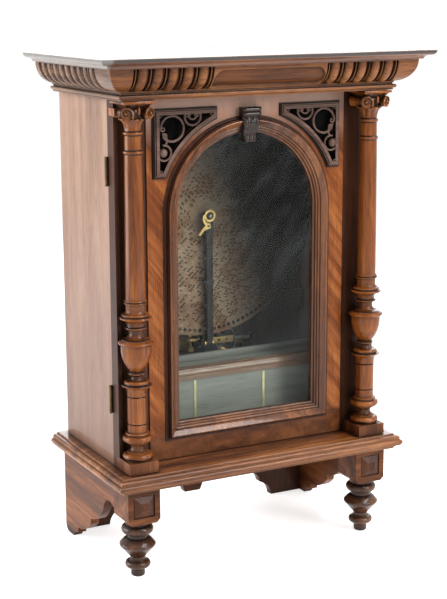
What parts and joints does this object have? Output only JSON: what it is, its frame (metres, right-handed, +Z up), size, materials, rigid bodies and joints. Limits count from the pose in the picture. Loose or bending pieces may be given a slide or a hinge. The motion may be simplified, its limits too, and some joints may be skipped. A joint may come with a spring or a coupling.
{
  "type": "disc music box",
  "caption": "Upright table disc music box: walnut case with moulded cornice, arched glass door between turned columns, and a wind-up disc movement.",
  "frame": {"origin": "centre of the outline on the floor, under the feet", "axes": "+Z up, the door and columns face -Y, +X to the right as seen from the front"},
  "size_m": [0.692, 0.381, 0.978],
  "materials": {
    "walnut_case": "waxed walnut",
    "walnut_moulding": "waxed walnut",
    "column_wood": "polished reddish walnut",
    "veneer": "polished walnut veneer",
    "pine": "unfinished softwood",
    "shelf_wood": "dark stained",
    "glass": "clear",
    "brass": "aged",
    "disc_steel": "aged, lightly rusted",
    "steel": "satin",
    "black_iron": "japanned",
    "grip_wood": "ebonised"
  },
  "bodies": {
    "case": {"lock_keep": "brass", "base_board": "walnut_moulding", "cornice_top": "walnut_moulding", "cornice_front": "walnut_moulding", "cornice_left": "walnut_moulding", "cornice_right": "walnut_moulding", "foot_block_left": "walnut_moulding", "foot_block_right": "walnut_moulding", "turned_foot_left": "walnut_moulding", "turned_foot_right": "walnut_moulding", "side_apron_left": "walnut_moulding", "side_apron_right": "walnut_moulding", "back_apron": "pine", "side_panel_left": "walnut_case", "side_panel_right": "walnut_case", "back_panel": "pine", "front_rail": "walnut_moulding", "shelf": "shelf_wood", "lower_panel": "shelf_wood", "bed_rails": "pine", "case_hinges": "brass", "spindle": "steel", "bar_bracket": "brass", "star_gantry": "black_iron", "comb_left": "steel", "comb_right": "steel", "comb_beds": "black_iron", "bedplate": "black_iron", "sprocket_bracket": "brass", "motor_frame": "black_iron", "crank_bush": "brass"},
    "door": {"door_panel": "veneer", "door_stile_left": "walnut_case", "door_stile_right": "walnut_case", "arch_moulding": "walnut_moulding", "door_glass": "glass", "keystone": "walnut_moulding", "spandrel_fret_left": "walnut_moulding", "spandrel_fret_right": "walnut_moulding", "column_plinth_left": "column_wood", "column_plinth_right": "column_wood", "column_left": "column_wood", "column_right": "column_wood", "capital_left": "column_wood", "capital_right": "column_wood", "door_hinges": "brass", "door_lock": "brass"},
    "lock_bolt": {"lock_bolt": "steel"},
    "disc": {"disc": "disc_steel"},
    "pressure_bar": {"pressure_bar": "black_iron"},
    "pressure_rollers": {"pressure_rollers": "steel"},
    "latch_lever": {"latch_lever": "brass"},
    "star_wheels": {"star_wheels": "steel"},
    "drive_sprocket": {"drive_sprocket": "brass"},
    "intermediate_shaft": {"intermediate_shaft": "steel"},
    "governor": {"governor": "brass"},
    "spring_barrel": {"spring_barrel": "brass"},
    "winding_crank": {"winding_crank": "steel"},
    "crank_grip": {"crank_grip": "grip_wood"}
  },
  "joints": [
    {"name": "door_swing", "type": "hinge", "parent": "case", "child": "door", "pos_m": [-0.2844, -0.0575, 0.556], "axis": [0, 0, -1], "range_deg": [0, 110]},
    {"name": "lock_bolt_slide", "type": "slide", "parent": "door", "child": "lock_bolt", "axis": [1, 0, 0], "range_m": [0, 0.004]},
    {"name": "barrel_spin", "type": "hinge", "parent": "case", "child": "spring_barrel", "pos_m": [0.077, 0.101, 0.30175], "axis": [1, 0, 0], "continuous": true},
    {"name": "intermediate_spin", "type": "hinge", "parent": "case", "child": "intermediate_shaft", "pos_m": [0.039, 0.12458, 0.3782], "axis": [1, 0, 0], "continuous": true},
    {"name": "governor_spin", "type": "hinge", "parent": "case", "child": "governor", "pos_m": [0.07, 0.14858, 0.36378], "axis": [1, 0, 0], "continuous": true},
    {"name": "sprocket_spin", "type": "hinge", "parent": "case", "child": "drive_sprocket", "pos_m": [-0.0265, 0.12458, 0.41158], "axis": [0, 0, 1], "continuous": true},
    {"name": "disc_spin", "type": "hinge", "parent": "case", "child": "disc", "pos_m": [0, 0.1029, 0.6486], "axis": [0, 1, 0], "continuous": true},
    {"name": "star_spin", "type": "hinge", "parent": "case", "child": "star_wheels", "pos_m": [0, 0.1127, 0.5256], "axis": [0, 0, 1], "continuous": true},
    {"name": "bar_tilt", "type": "hinge", "parent": "case", "child": "pressure_bar", "pos_m": [0, 0.0941, 0.3846], "axis": [1, 0, 0], "range_deg": [0, 28]},
    {"name": "roller_spin", "type": "hinge", "parent": "pressure_bar", "child": "pressure_rollers", "pos_m": [0, 0.0941, 0.512], "axis": [0, 0, 1], "continuous": true},
    {"name": "latch_turn", "type": "hinge", "parent": "pressure_bar", "child": "latch_lever", "pos_m": [-0.005, 0.0814, 0.6286], "axis": [0, -1, 0], "range_deg": [0, 40]},
    {"name": "crank_turn", "type": "hinge", "parent": "case", "child": "winding_crank", "pos_m": [0.3, 0.101, 0.30175], "axis": [1, 0, 0], "continuous": true},
    {"name": "grip_spin", "type": "hinge", "parent": "winding_crank", "child": "crank_grip", "pos_m": [0.328, 0.101, 0.21376], "axis": [1, 0, 0], "continuous": true}
  ],
  "couplings": [
    {"joint": "intermediate_spin", "follows": "barrel_spin", "ratio": -4},
    {"joint": "governor_spin", "follows": "barrel_spin", "ratio": 14.667},
    {"joint": "sprocket_spin", "follows": "barrel_spin", "ratio": 2},
    {"joint": "disc_spin", "follows": "barrel_spin", "ratio": -0.18182}
  ]
}
